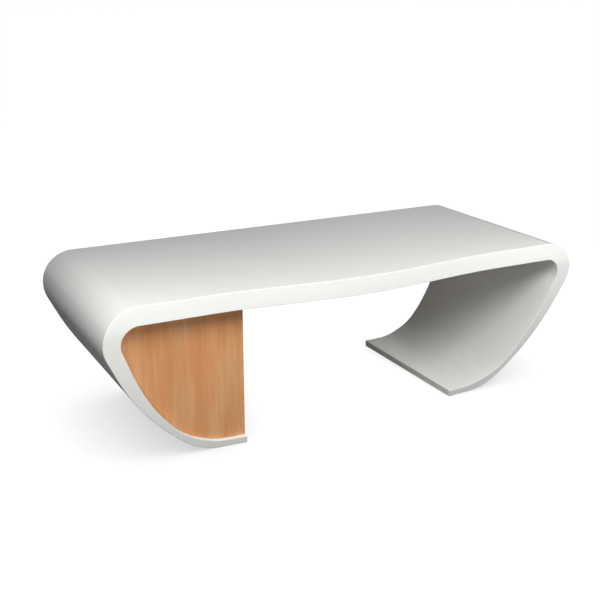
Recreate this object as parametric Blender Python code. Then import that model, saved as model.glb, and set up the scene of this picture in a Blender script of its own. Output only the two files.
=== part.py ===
"""Executive office desk: a white lacquered shell whose two ends curl down and in to the floor.

The left curl holds a drawer pedestal behind a wood veneered fascia. The user sits on the +Y side,
the bowed edge of the worktop faces a visitor on the -Y side, and the length runs along X.
The origin lies on the floor under the middle of the desk. Lengths are metres.
"""

import math

import bmesh
import bpy

# Overall size of the desk.
overall_length = 2.400
overall_height = 0.740
worktop_depth = 0.984
front_bow = 0.060
bow_end_inset = 0.265
worktop_thickness = 0.082

# Outer face of an end curl: a tight bend, a straight, a long flank and a toe that lands flat.
bend_radius = 0.153
bend_turn = math.radians(115.7)
straight_length = 0.089
flank_turn = math.radians(27.3)
toe_radius = 0.282
foot_flat_length = 0.113

# Wall of a curl, which thins down the flank, swells in the toe and runs level in the foot.
bend_end_wall = 0.0714
flank_end_wall = 0.0301
toe_wall = 0.0393
foot_wall = 0.0307
foot_level_length = 0.041
flank_wall_share = 0.855
toe_wall_share = 0.395

# The legs narrow towards the floor, in from the front and from the back.
taper_start_drop = 0.100
front_taper = 0.087
back_taper = 0.108

# Gaps between pieces.
joint_gap = 0.0003
slide_gap = 0.0004
reveal_gap = 0.003
cut_overrun = 0.004

# Worktop torsion box. Its joint with each curl lies on the flat, before the bend starts.
seam_setback = 0.047
skin_thickness = 0.018
rail_width = 0.045
rib_thickness = 0.022
rib_spacing = 0.660

# Connecting bolts and dowels across each seam.
seam_fixing_inset = 0.160
dowel_inset = 0.330
bolt_radius = 0.004
bolt_length = 0.085
bolt_head_radius = 0.0075
bolt_head_length = 0.008
bolt_socket_radius = 0.003
bolt_socket_depth = 0.005
bolt_hole_clearance = 0.0004
dowel_radius = 0.005
dowel_length = 0.040
access_hole_length = 0.060
access_hole_width = 0.044

# Glides let into the underside of each foot.
glide_stand = 0.0015
glide_thickness = 0.005
glide_length = 0.080
glide_width = 0.040
glide_side_inset = 0.030
glide_end_inset = 0.060

# Pedestal carcass in the left curl.
fascia_thickness = 0.019
fascia_recess = 0.014
lipping_width = 0.022
side_panel_thickness = 0.018
divider_thickness = 0.016
bottom_panel_height = 0.118
bottom_space_share = 0.480
middle_space_share = 0.275
cleat_width = 0.030
cleat_height = 0.028
drawer_front_recess = 0.014

# Drawers.
drawer_front_thickness = 0.019
finger_gap = 0.020
drawer_back_clearance = 0.1527
drawer_wall = 0.012
drawer_floor_thickness = 0.008
drawer_side_clearance = 0.004
drawer_curl_clearance = 0.012
drawer_top_clearance = 0.006

# Telescopic runners, which lie flat under each drawer.
runner_width = 0.045
runner_height = 0.0127
runner_wall = 0.0012
runner_lip_height = 0.0085
runner_ball_gap = 0.0022
runner_edge_inset = 0.008
runner_end_setback = 0.010

# How finely round shapes are drawn, and the angle past which an edge is shaded sharp.
quarter_segments = 16
lean_segments = 5
flank_segments = 16
toe_segments = 14
foot_segments = 4
bow_segments = 36
round_sides = 12
sharp_angle = math.radians(25)

# Places that follow from the sizes above.
half_length = overall_length / 2
back_y = (worktop_depth + front_bow) / 2
front_y = back_y - worktop_depth
underside_z = overall_height - worktop_thickness
taper_start_height = overall_height - taper_start_drop
foot_top_z = glide_stand + foot_wall
bend_centre_x = half_length - bend_radius
seam_x = bend_centre_x - seam_setback
bow_half_length = seam_x - bow_end_inset
fascia_front_y = front_y + front_taper + fascia_recess
fascia_back_y = fascia_front_y + fascia_thickness
carcass_front_y = fascia_back_y + joint_gap
drawer_face_y = back_y - back_taper - drawer_front_recess
drawer_front_inner_y = drawer_face_y - drawer_front_thickness
carcass_back_y = drawer_front_inner_y - reveal_gap
drawer_box_front_y = drawer_front_inner_y - joint_gap
drawer_box_back_y = carcass_front_y + drawer_back_clearance


def clear_scene():
    for item in list(bpy.data.objects):
        bpy.data.objects.remove(item, do_unlink=True)


def make_material(name, colour, roughness, metallic=0.0):
    material = bpy.data.materials.new(name)
    material.use_nodes = True
    shader = material.node_tree.nodes["Principled BSDF"]
    shader.inputs["Base Color"].default_value = (*colour, 1.0)
    shader.inputs["Roughness"].default_value = roughness
    shader.inputs["Metallic"].default_value = metallic
    material.diffuse_color = (*colour, 1.0)
    return material


def finish_object(name, mesh_work, material, parent=None, anchor=None):
    """Closes a bmesh into an object whose origin is at the anchor, in world coordinates."""
    bmesh.ops.recalc_face_normals(mesh_work, faces=mesh_work.faces)
    place = anchor or (0.0, 0.0, 0.0)
    bmesh.ops.translate(mesh_work, verts=mesh_work.verts, vec=[-value for value in place])
    mesh = bpy.data.meshes.new(name)
    mesh_work.to_mesh(mesh)
    mesh_work.free()
    mesh.shade_smooth()
    mesh.set_sharp_from_angle(angle=sharp_angle)
    if material is not None:
        mesh.materials.append(material)
    item = bpy.data.objects.new(name, mesh)
    bpy.context.scene.collection.objects.link(item)
    item.parent = parent
    start = parent.location if parent else (0.0, 0.0, 0.0)
    item.location = [value - base for value, base in zip(place, start)]
    return item


def make_empty(name, place):
    item = bpy.data.objects.new(name, None)
    bpy.context.scene.collection.objects.link(item)
    item.location = place
    return item


def add_prism(mesh_work, outline, low, high, axis):
    """Adds a closed prism: the outline lies across the axis, from low to high along it."""
    def corner(point, level):
        if axis == "Y":
            return (point[0], level, point[1])
        return (point[0], point[1], level)

    start = [mesh_work.verts.new(corner(point, low)) for point in outline]
    end = [mesh_work.verts.new(corner(point, high)) for point in outline]
    mesh_work.faces.new(start)
    mesh_work.faces.new(list(reversed(end)))
    for index in range(len(outline)):
        after = (index + 1) % len(outline)
        mesh_work.faces.new((start[index], end[index], end[after], start[after]))


def prism(name, outline, low, high, axis, material, parent=None, anchor=None):
    mesh_work = bmesh.new()
    add_prism(mesh_work, outline, low, high, axis)
    return finish_object(name, mesh_work, material, parent, anchor)


def rectangle(low, high):
    return [(low[0], low[1]), (high[0], low[1]), (high[0], high[1]), (low[0], high[1])]


def add_turned(mesh_work, stations, centre_y, centre_z):
    """Adds a closed turned shape about an axis along X, from (x, radius) stations."""
    rings = []
    for place_x, radius in stations:
        ring = []
        for index in range(round_sides):
            angle = 2 * math.pi * index / round_sides
            ring.append(mesh_work.verts.new((
                place_x,
                centre_y + radius * math.cos(angle),
                centre_z + radius * math.sin(angle),
            )))
        rings.append(ring)
    for ring, following in zip(rings, rings[1:]):
        for index in range(round_sides):
            after = (index + 1) % round_sides
            mesh_work.faces.new((ring[index], following[index], following[after], ring[after]))
    mesh_work.faces.new(rings[0])
    mesh_work.faces.new(list(reversed(rings[-1])))


def cut(item, cutter):
    modifier = item.modifiers.new("cut by " + cutter.name, "BOOLEAN")
    modifier.operation = "DIFFERENCE"
    modifier.object = cutter
    cutter.hide_render = True
    cutter.display_type = "WIRE"


def flip_x(points):
    return [(-place_x, other) for place_x, other in points]


# Curl section, as a path along its outer face with a wall measured square to it.
def outer_path():
    """Stations (x, z, turn, distance) from the bend to the tip of the foot, and where parts end."""
    full_turn = bend_turn + flank_turn
    bend_drop = bend_radius * (1 - math.cos(bend_turn))
    straight_drop = straight_length * math.sin(bend_turn)
    toe_drop = toe_radius * (1 + math.cos(full_turn))
    flank_drop = overall_height - glide_stand - bend_drop - straight_drop - toe_drop
    flank_radius = flank_drop / (math.cos(bend_turn) - math.cos(full_turn))
    path = [(bend_centre_x, overall_height, 0.0, 0.0)]
    ends = {}

    def add_arc(radius, end_turn, segments):
        start_x, start_z, start_turn, start_distance = path[-1]
        centre_x = start_x - radius * math.sin(start_turn)
        centre_z = start_z - radius * math.cos(start_turn)
        for index in range(1, segments + 1):
            turned = (end_turn - start_turn) * index / segments
            turn = start_turn + turned
            path.append((
                centre_x + radius * math.sin(turn),
                centre_z + radius * math.cos(turn),
                turn,
                start_distance + radius * turned,
            ))

    def add_straight(length, segments):
        start_x, start_z, turn, start_distance = path[-1]
        for index in range(1, segments + 1):
            run = length * index / segments
            path.append((
                start_x + run * math.cos(turn),
                start_z - run * math.sin(turn),
                turn,
                start_distance + run,
            ))

    add_arc(bend_radius, math.pi / 2, quarter_segments)
    add_arc(bend_radius, bend_turn, lean_segments)
    ends["bend"] = path[-1][3]
    add_straight(straight_length, 1)
    ends["straight"] = path[-1][3]
    add_arc(flank_radius, full_turn, flank_segments)
    ends["flank"] = path[-1][3]
    add_arc(toe_radius, math.pi, toe_segments)
    ends["toe"] = path[-1][3]
    add_straight(foot_flat_length - foot_level_length, foot_segments)
    ends["ramp"] = path[-1][3]
    add_straight(foot_level_length, 1)
    return path, ends


def wall_at(distance, ends):
    """Thickness of the wall, eased between the places where it is given."""
    flank_length = ends["flank"] - ends["straight"]
    toe_length = ends["toe"] - ends["flank"]
    places = [
        (0.0, worktop_thickness),
        (ends["bend"], bend_end_wall),
        (ends["straight"] + flank_length * flank_wall_share, flank_end_wall),
        (ends["flank"] + toe_length * toe_wall_share, toe_wall),
        (ends["ramp"], foot_wall),
    ]
    if distance >= ends["ramp"]:
        return foot_wall
    slopes = [0.0]
    for before, after in zip(places, places[2:]):
        slopes.append((after[1] - before[1]) / (after[0] - before[0]))
    slopes.append(0.0)
    index = max(index for index, place in enumerate(places) if place[0] <= distance)
    (low, low_wall), (high, high_wall) = places[index], places[index + 1]
    span = high - low
    share = (distance - low) / span
    ease = share * share * (3 - 2 * share)
    low_lean = slopes[index] * span * share * (1 - share) ** 2
    high_lean = slopes[index + 1] * span * share * share * (share - 1)
    return low_wall + (high_wall - low_wall) * ease + low_lean + high_lean


def outer_chain():
    """Points (x, z) of the outer face from the seam to the tip of the foot."""
    path, ends = outer_path()
    return [(seam_x, overall_height)] + [(x, z) for x, z, turn, distance in path]


def inner_chain(clearance=0.0):
    """Points (x, z) of the inner face, moved into the cavity by the clearance."""
    path, ends = outer_path()
    points = [(seam_x, underside_z - clearance)]
    for place_x, place_z, turn, distance in path:
        depth = wall_at(distance, ends) + clearance
        points.append((place_x - depth * math.sin(turn), place_z - depth * math.cos(turn)))
    return points


tip_x = outer_chain()[-1][0]


def cavity_outline(clearance, side_x):
    """What the curl encloses beyond side_x, kept clear of its inner face."""
    chain = inner_chain(clearance)
    outline = [(tip_x, chain[0][1])] + chain
    return clip(outline, 0, side_x, True)


def clip(outline, axis, limit, keep_above):
    """The part of an outline on one side of a level or upright line."""
    kept = []
    for index, point in enumerate(outline):
        after = outline[(index + 1) % len(outline)]
        inside = (point[axis] >= limit) == keep_above
        after_inside = (after[axis] >= limit) == keep_above
        if inside:
            kept.append(point)
        if inside != after_inside:
            share = (limit - point[axis]) / (after[axis] - point[axis])
            crossing = [point[other] + share * (after[other] - point[other]) for other in (0, 1)]
            crossing[axis] = limit
            kept.append(tuple(crossing))
    return kept


def between_heights(outline, low, high):
    return clip(clip(outline, 1, low, True), 1, high, False)


def reach(clearance, height):
    """How far out the cavity goes at a height."""
    outline = cavity_outline(clearance, tip_x)
    crossings = []
    for point, after in zip(outline, outline[1:]):
        if (point[1] - height) * (after[1] - height) <= 0 and point[1] != after[1]:
            share = (height - point[1]) / (after[1] - point[1])
            crossings.append(point[0] + share * (after[0] - point[0]))
    return max(crossings)


def leg_front_y(height):
    lean = max(0.0, 1 - height / taper_start_height)
    return front_y + front_taper * lean


def leg_back_y(height):
    lean = max(0.0, 1 - height / taper_start_height)
    return back_y - back_taper * lean


def with_level(points, height):
    """The same open chain with a point added wherever it crosses the height."""
    result = [points[0]]
    for point, after in zip(points, points[1:]):
        if (point[1] - height) * (after[1] - height) < 0:
            share = (height - point[1]) / (after[1] - point[1])
            result.append((point[0] + share * (after[0] - point[0]), height))
        result.append(after)
    return result


# Lacquered end curls.
def build_end_shell(name, sign, material):
    """One curl: its section runs along Y between the slanting front and back faces of the leg."""
    section = with_level(outer_chain(), taper_start_height)
    section += with_level(inner_chain()[::-1], taper_start_height)
    section = [(seam_x + joint_gap, z) if x == seam_x else (x, z) for x, z in section]
    mesh_work = bmesh.new()
    front = [mesh_work.verts.new((sign * x, leg_front_y(z), z)) for x, z in section]
    back = [mesh_work.verts.new((sign * x, leg_back_y(z), z)) for x, z in section]
    for index in range(len(section)):
        after = (index + 1) % len(section)
        mesh_work.faces.new((front[index], back[index], back[after], front[after]))
    upper = [index for index, point in enumerate(section) if point[1] >= taper_start_height]
    lower = [index for index, point in enumerate(section) if point[1] <= taper_start_height]
    for part in (upper, lower):
        mesh_work.faces.new([front[index] for index in part])
        mesh_work.faces.new([back[index] for index in part])
    return finish_object(name, mesh_work, material)


# Worktop torsion box.
def bow_y(place_x):
    """Front edge of the worktop: straight near the curls, bowed towards the visitor between."""
    if abs(place_x) >= bow_half_length:
        return front_y
    return front_y - front_bow * (1 + math.cos(math.pi * place_x / bow_half_length)) / 2


def bow_stations(reach_x):
    """Places along the front edge from -reach_x to reach_x, closer together in the bow."""
    bow = [
        bow_half_length * (2 * index / bow_segments - 1)
        for index in range(bow_segments + 1)
    ]
    inside = [place for place in bow if abs(place) < reach_x]
    return [-reach_x] + inside + [reach_x]


def worktop_outline():
    front = [(place, bow_y(place)) for place in bow_stations(seam_x)]
    return front + [(seam_x, back_y), (-seam_x, back_y)]


def build_worktop(lacquer, board):
    pieces = {}
    core_low = underside_z + skin_thickness + joint_gap
    core_high = overall_height - skin_thickness - joint_gap
    pieces["lower_skin"] = prism(
        "worktop_lower_skin", worktop_outline(), underside_z,
        underside_z + skin_thickness, "Z", lacquer,
    )
    prism(
        "worktop_upper_skin", worktop_outline(), overall_height - skin_thickness,
        overall_height, "Z", lacquer,
    )
    rail_reach = seam_x - rail_width - joint_gap
    places = bow_stations(rail_reach)
    front_edge = [(place, bow_y(place)) for place in places]
    rear_edge = [(place, bow_y(place) + rail_width) for place in reversed(places)]
    prism("worktop_front_rail", front_edge + rear_edge, core_low, core_high, "Z", lacquer)
    back_rail_y = back_y - rail_width
    prism(
        "worktop_back_rail", rectangle((-rail_reach, back_rail_y), (rail_reach, back_y)),
        core_low, core_high, "Z", lacquer,
    )
    for side, sign in (("left", -1), ("right", 1)):
        low_x, high_x = sorted((sign * (seam_x - rail_width), sign * seam_x))
        pieces[side] = prism(
            f"worktop_{side}_end_rail", rectangle((low_x, front_y), (high_x, back_y)),
            core_low, core_high, "Z", lacquer,
        )
        rib_centre = sign * rib_spacing / 2
        rib_low = rib_centre - rib_thickness / 2
        rib_high = rib_centre + rib_thickness / 2
        rib_front_y = max(bow_y(rib_low), bow_y(rib_high)) + rail_width + joint_gap
        prism(
            f"worktop_{side}_rib",
            rectangle((rib_low, rib_front_y), (rib_high, back_rail_y - joint_gap)),
            core_low, core_high, "Z", board,
        )
    return pieces


def seam_places():
    """Where the fixings cross each seam, along Y."""
    return {
        "front": (front_y + seam_fixing_inset, front_y + dowel_inset),
        "back": (back_y - seam_fixing_inset, back_y - dowel_inset),
    }


def build_seam_fixings(worktop, shells, steel, beech):
    """Bolts through the end rails into the curls, with dowels beside them and access holes below."""
    middle_z = overall_height - worktop_thickness / 2
    rail_face_x = seam_x - rail_width
    bore_end_x = rail_face_x + bolt_length + cut_overrun
    skin_work = bmesh.new()
    for side, sign in (("left", -1), ("right", 1)):
        bore_work = bmesh.new()
        for end, (bolt_y, dowel_y) in seam_places().items():
            head_x = rail_face_x - joint_gap - bolt_head_length
            stations = [
                (head_x + bolt_socket_depth, bolt_socket_radius),
                (head_x, bolt_socket_radius),
                (head_x, bolt_head_radius),
                (head_x + bolt_head_length, bolt_head_radius),
                (head_x + bolt_head_length, bolt_radius),
                (rail_face_x + bolt_length, bolt_radius),
            ]
            bolt_work = bmesh.new()
            add_turned(bolt_work, [(sign * x, r) for x, r in stations], bolt_y, middle_z)
            place = (sign * seam_x, bolt_y, middle_z)
            finish_object(f"{side}_{end}_joint_bolt", bolt_work, steel, None, place)
            bore_radius = bolt_radius + bolt_hole_clearance
            bore = [(rail_face_x - cut_overrun, bore_radius), (bore_end_x, bore_radius)]
            add_turned(bore_work, [(sign * x, r) for x, r in bore], bolt_y, middle_z)

            dowel_work = bmesh.new()
            half = dowel_length / 2
            pin = [(seam_x - half, dowel_radius), (seam_x + half, dowel_radius)]
            add_turned(dowel_work, [(sign * x, r) for x, r in pin], dowel_y, middle_z)
            place = (sign * seam_x, dowel_y, middle_z)
            finish_object(f"{side}_{end}_joint_dowel", dowel_work, beech, None, place)
            hole_radius = dowel_radius + joint_gap
            hole = [(seam_x - half - joint_gap, hole_radius), (seam_x + half + joint_gap, hole_radius)]
            add_turned(bore_work, [(sign * x, r) for x, r in hole], dowel_y, middle_z)

            far_x, near_x = rail_face_x - access_hole_length, rail_face_x
            low_x, high_x = sorted((sign * far_x, sign * near_x))
            hole_low = (low_x, bolt_y - access_hole_width / 2)
            hole_high = (high_x, bolt_y + access_hole_width / 2)
            add_prism(
                skin_work, rectangle(hole_low, hole_high), underside_z - cut_overrun,
                underside_z + skin_thickness + cut_overrun, "Z",
            )
        bores = finish_object(f"{side}_seam_bores", bore_work, None)
        cut(worktop[side], bores)
        cut(shells[side], bores)
    cut(worktop["lower_skin"], finish_object("access_holes", skin_work, None))


# Glides under the feet.
def build_glides(shells, nylon):
    for side, sign in (("left", -1), ("right", 1)):
        pocket_work = bmesh.new()
        low_x, high_x = sorted((
            sign * (tip_x + glide_side_inset),
            sign * (tip_x + glide_side_inset + glide_width),
        ))
        front_low = leg_front_y(0.0) + glide_end_inset
        back_low = leg_back_y(0.0) - glide_end_inset - glide_length
        for end, low_y in (("front", front_low), ("back", back_low)):
            outline = rectangle((low_x, low_y), (high_x, low_y + glide_length))
            place = ((low_x + high_x) / 2, low_y + glide_length / 2, 0.0)
            prism(
                f"{side}_{end}_glide", outline, 0.0, glide_thickness, "Z", nylon, None, place,
            )
            pocket = rectangle(
                (low_x - joint_gap, low_y - joint_gap),
                (high_x + joint_gap, low_y + glide_length + joint_gap),
            )
            add_prism(pocket_work, pocket, -cut_overrun, glide_thickness + joint_gap, "Z")
        cut(shells[side], finish_object(f"{side}_glide_pockets", pocket_work, None))


# Pedestal carcass in the left curl.
side_panel_face_x = tip_x + side_panel_thickness
pedestal_clear_height = underside_z - bottom_panel_height - divider_thickness
bottom_space = pedestal_clear_height * bottom_space_share
middle_space = pedestal_clear_height * middle_space_share
lower_divider_height = bottom_panel_height + divider_thickness + bottom_space
upper_divider_height = lower_divider_height + divider_thickness + middle_space


def build_carcass(veneer, solid_wood, board, beech):
    cavity = cavity_outline(joint_gap, tip_x + lipping_width + joint_gap)
    prism("visitor_fascia", flip_x(cavity), fascia_front_y, fascia_back_y, "Y", veneer)
    low_z, high_z = foot_top_z + joint_gap, underside_z - joint_gap
    prism(
        "fascia_edge_lipping", rectangle((-tip_x - lipping_width, low_z), (-tip_x, high_z)),
        fascia_front_y, fascia_back_y, "Y", solid_wood,
    )
    prism(
        "pedestal_inner_side_panel", rectangle((-side_panel_face_x, low_z), (-tip_x, high_z)),
        carcass_front_y, carcass_back_y, "Y", veneer,
    )
    shelves = {
        "pedestal_bottom_panel": bottom_panel_height,
        "pedestal_lower_divider": lower_divider_height,
        "pedestal_upper_divider": upper_divider_height,
    }
    inside = cavity_outline(joint_gap, side_panel_face_x + joint_gap)
    for name, height in shelves.items():
        shelf = between_heights(inside, height, height + divider_thickness)
        prism(name, flip_x(shelf), carcass_front_y, carcass_back_y, "Y", board)
        cleat_top = height - joint_gap
        cleat = between_heights(inside, cleat_top - cleat_height, cleat_top)
        cleat_low_x = reach(joint_gap, cleat_top - cleat_height) - cleat_width
        cleat = clip(cleat, 0, cleat_low_x, True)
        cleat_name = name.replace("pedestal_", "") + "_cleat"
        prism(cleat_name, flip_x(cleat), carcass_front_y, carcass_back_y, "Y", beech)


# Drawers and their runners.
def channel(centre_x, low_z, high_z, width, opens_up):
    """Section of a folded steel channel."""
    half = width / 2
    inner = half - runner_wall
    rise = high_z - low_z
    shape = [
        (-half, 0.0), (half, 0.0), (half, rise), (inner, rise),
        (inner, runner_wall), (-inner, runner_wall), (-inner, rise), (-half, rise),
    ]
    if opens_up:
        return [(centre_x + across, low_z + height) for across, height in shape]
    return [(centre_x + across, high_z - height) for across, height in shape]


def build_runner(drawer, side, centre_x, floor_z, parents, steel):
    """Three nested channels: on the divider, between, and under the drawer."""
    high_y = drawer_front_inner_y - runner_end_setback
    low_y = drawer_box_back_y + runner_end_setback
    base_z = floor_z + joint_gap
    step = 2 * (runner_wall + runner_ball_gap)
    middle_base_z = base_z + runner_wall + slide_gap
    drawer_base_z = middle_base_z + runner_wall + slide_gap
    top_z = base_z + runner_height
    members = {
        "cabinet": (base_z, base_z + runner_lip_height, runner_width, True, None),
        "intermediate": (
            middle_base_z, middle_base_z + runner_lip_height, runner_width - step, True,
            parents["intermediate"],
        ),
        "drawer": (drawer_base_z, top_z, runner_width - 2 * step, False, parents["drawer"]),
    }
    for member, (low_z, high_z, width, opens_up, parent) in members.items():
        section = channel(centre_x, low_z, high_z, width, opens_up)
        place = (centre_x, high_y, low_z)
        name = f"{drawer}_{side}_runner_{member}_member"
        prism(name, section, low_y, high_y, "Y", steel, parent, place)


def build_drawer(drawer, floor_z, ceiling_z, front_low_z, materials):
    """One drawer: front, walls and floor on an empty that slides along Y, and a pair of runners."""
    front_high_z = ceiling_z - finger_gap
    parents = {
        "drawer": make_empty(f"{drawer}_slide", (0.0, drawer_face_y, floor_z)),
        "intermediate": make_empty(f"{drawer}_runner_slide", (0.0, drawer_face_y, floor_z)),
    }
    face = between_heights(cavity_outline(reveal_gap, tip_x), front_low_z, front_high_z)
    place = (-tip_x, drawer_face_y, floor_z)
    prism(
        f"{drawer}_front", flip_x(face), drawer_front_inner_y, drawer_face_y, "Y",
        materials["veneer"], parents["drawer"], place,
    )
    box_low_z = floor_z + joint_gap + runner_height + joint_gap
    walls_low_z = box_low_z + drawer_floor_thickness + joint_gap
    walls_high_z = front_high_z - drawer_top_clearance
    near_x = side_panel_face_x + drawer_side_clearance
    far_x = min(reach(0.0, floor_z), reach(0.0, walls_high_z)) - drawer_curl_clearance
    outside = rectangle((-far_x, drawer_box_back_y), (-near_x, drawer_box_front_y))
    prism(
        f"{drawer}_floor", outside, box_low_z, box_low_z + drawer_floor_thickness, "Z",
        materials["board"], parents["drawer"], place,
    )
    walls = prism(
        f"{drawer}_box", outside, walls_low_z, walls_high_z, "Z",
        materials["beech"], parents["drawer"], place,
    )
    inside = rectangle(
        (-far_x + drawer_wall, drawer_box_back_y + drawer_wall),
        (-near_x - drawer_wall, drawer_box_front_y - drawer_wall),
    )
    hollow = prism(
        f"{drawer}_hollow", inside, walls_low_z - cut_overrun, walls_high_z + cut_overrun, "Z", None,
    )
    cut(walls, hollow)
    edge = runner_edge_inset + runner_width / 2
    for side, centre_x in (("left", -far_x + edge), ("right", -near_x - edge)):
        build_runner(drawer, side, centre_x, floor_z, parents, materials["steel"])


def build_drawers(materials):
    bottom_floor = bottom_panel_height + divider_thickness
    middle_floor = lower_divider_height + divider_thickness
    top_floor = upper_divider_height + divider_thickness
    build_drawer("bottom_drawer", bottom_floor, lower_divider_height, 0.0, materials)
    build_drawer("middle_drawer", middle_floor, upper_divider_height, lower_divider_height, materials)
    build_drawer("top_drawer", top_floor, underside_z, upper_divider_height, materials)


def main():
    clear_scene()
    lacquer = make_material("white gloss lacquer", (0.80, 0.80, 0.77), 0.15)
    materials = {
        "veneer": make_material("cherry veneer", (0.57, 0.30, 0.14), 0.45),
        "board": make_material("white faced board", (0.72, 0.71, 0.67), 0.5),
        "beech": make_material("beech", (0.62, 0.45, 0.28), 0.55),
        "steel": make_material("zinc plated steel", (0.60, 0.61, 0.63), 0.35, 1.0),
    }
    nylon = make_material("grey nylon", (0.16, 0.16, 0.17), 0.5)
    solid_wood = make_material("cherry lipping", (0.52, 0.25, 0.12), 0.45)
    shells = {
        "left": build_end_shell("left_end_shell", -1, lacquer),
        "right": build_end_shell("right_end_shell", 1, lacquer),
    }
    worktop = build_worktop(lacquer, materials["board"])
    build_seam_fixings(worktop, shells, materials["steel"], materials["beech"])
    build_glides(shells, nylon)
    build_carcass(materials["veneer"], solid_wood, materials["board"], materials["beech"])
    build_drawers(materials)


main()
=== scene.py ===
# %% [markdown]
# # An executive desk with curled ends
# The desk is one white lacquered shell. Its thick top bends over at both ends and runs down and in to
# the floor. The front, towards -Y, is the visitor's side, where a cherry veneered fascia closes the left
# curl. Behind it are three drawers, which open at the back, towards the user.
# This lesson dresses the plain CAD model. It loads that model first, because every piece made here has
# to sit where the CAD says.

# %% Load the frame
import math

import bmesh
import bpy
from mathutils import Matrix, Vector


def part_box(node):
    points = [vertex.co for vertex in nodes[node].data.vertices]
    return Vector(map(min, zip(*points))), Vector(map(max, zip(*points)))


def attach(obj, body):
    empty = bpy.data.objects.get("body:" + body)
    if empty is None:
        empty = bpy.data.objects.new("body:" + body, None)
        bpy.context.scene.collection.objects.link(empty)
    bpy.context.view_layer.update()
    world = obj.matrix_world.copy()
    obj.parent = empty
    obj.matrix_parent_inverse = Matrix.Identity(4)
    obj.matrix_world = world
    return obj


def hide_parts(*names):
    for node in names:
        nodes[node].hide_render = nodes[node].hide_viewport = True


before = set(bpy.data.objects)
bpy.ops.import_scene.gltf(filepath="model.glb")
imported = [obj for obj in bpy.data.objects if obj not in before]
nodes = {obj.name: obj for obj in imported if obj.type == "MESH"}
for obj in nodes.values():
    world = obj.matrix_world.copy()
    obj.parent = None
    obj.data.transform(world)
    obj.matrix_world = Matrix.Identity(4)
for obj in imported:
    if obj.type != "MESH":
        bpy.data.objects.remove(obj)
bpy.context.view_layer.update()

# %% [markdown]
# ## Camera
# A product photograph of a long desk is taken from a little above the top, with a lens long enough to
# keep the verticals calm. The place and the lens below were worked out from the desk's own corners, so
# that its outline falls where the photograph has it. The camera only looks down, and it needs no shift.
# In Blender an object shows only once it is linked to a collection, so a helper does both at once.

# %% Place the camera
def add_object(name, data):
    """An object with the data, linked to the scene."""
    item = bpy.data.objects.new(name, data)
    bpy.context.scene.collection.objects.link(item)
    return item


looking_down = 18.08
turned_right = 27.53
camera_data = bpy.data.cameras.new("product camera")
camera_data.lens = 59.4
camera_data.sensor_width = 36.0
camera = add_object("product camera", camera_data)
camera.location = (-2.199, -4.058, 1.983)
camera.rotation_euler = (math.radians(90 - looking_down), 0.0, math.radians(-turned_right))
bpy.context.scene.camera = camera
bpy.context.scene.view_settings.view_transform = "Standard"
print("camera:", [round(value, 3) for value in camera.location], "lens:", camera_data.lens)

# %% [markdown]
# ## Node helpers
# Materials and Geometry Nodes trees are both built from nodes and links. A few small helpers keep the
# later cells short: they add a node and fill its sockets, do arithmetic, mix colours and map a value
# from one range onto another.

# %% Helpers that add nodes
def fill(tree, socket, value):
    """Gives a socket a link, or a plain value, whichever is handed in."""
    if isinstance(value, bpy.types.NodeSocket):
        tree.links.new(value, socket)
    else:
        socket.default_value = value


def add_node(tree, kind, settings=None, **values):
    """Adds a node, sets its own settings, and fills the sockets named by the keywords."""
    node = tree.nodes.new(kind)
    for name, value in (settings or {}).items():
        setattr(node, name, value)
    for name, value in values.items():
        fill(tree, node.inputs[name.replace("_", " ")], value)
    return node


def calculate(tree, operation, *values, kind="ShaderNodeMath"):
    """Arithmetic on numbers, or with kind="ShaderNodeVectorMath" on vectors."""
    node = tree.nodes.new(kind)
    node.operation = operation
    for socket, value in zip(node.inputs, values):
        fill(tree, socket, value)
    return node.outputs[0]


def mix_colours(tree, share, first, second, blend="MIX"):
    node = tree.nodes.new("ShaderNodeMix")
    node.data_type = "RGBA"
    node.blend_type = blend
    for socket, value in zip((node.inputs[0], node.inputs[6], node.inputs[7]), (share, first, second)):
        fill(tree, socket, value)
    return node.outputs[2]


def spread(tree, value, low, high, from_low=0.0, from_high=1.0):
    """Maps a value between two ends onto another pair of ends, and holds it there."""
    node = add_node(
        tree, "ShaderNodeMapRange", {"clamp": True}, Value=value,
        From_Min=from_low, From_Max=from_high, To_Min=low, To_Max=high,
    )
    return node.outputs["Result"]


print("node helpers ready")

# %% [markdown]
# ## Floor, backdrop and light
# The desk stands in a plain white studio, with a soft shadow round its feet. Pouring on light until the
# floor clips would burn out the white desk too. Instead the floor is a dark grey that throws little
# light back, and what the camera sees of it is lifted to white. The lift sinks where the desk covers
# the floor closely, which an Ambient Occlusion node measures, so the soft shadow is painted shade.

# %% Make the floor
def seen_directly(tree, in_reflections):
    """1 for rays from the camera, a share of it for reflected and refracted rays, 0 for the rest."""
    ray = tree.nodes.new("ShaderNodeLightPath").outputs
    mirror = calculate(tree, "MAXIMUM", ray["Is Glossy Ray"], ray["Is Transmission Ray"])
    weakened = calculate(tree, "MULTIPLY", mirror, in_reflections)
    return calculate(tree, "MAXIMUM", ray["Is Camera Ray"], weakened)


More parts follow.
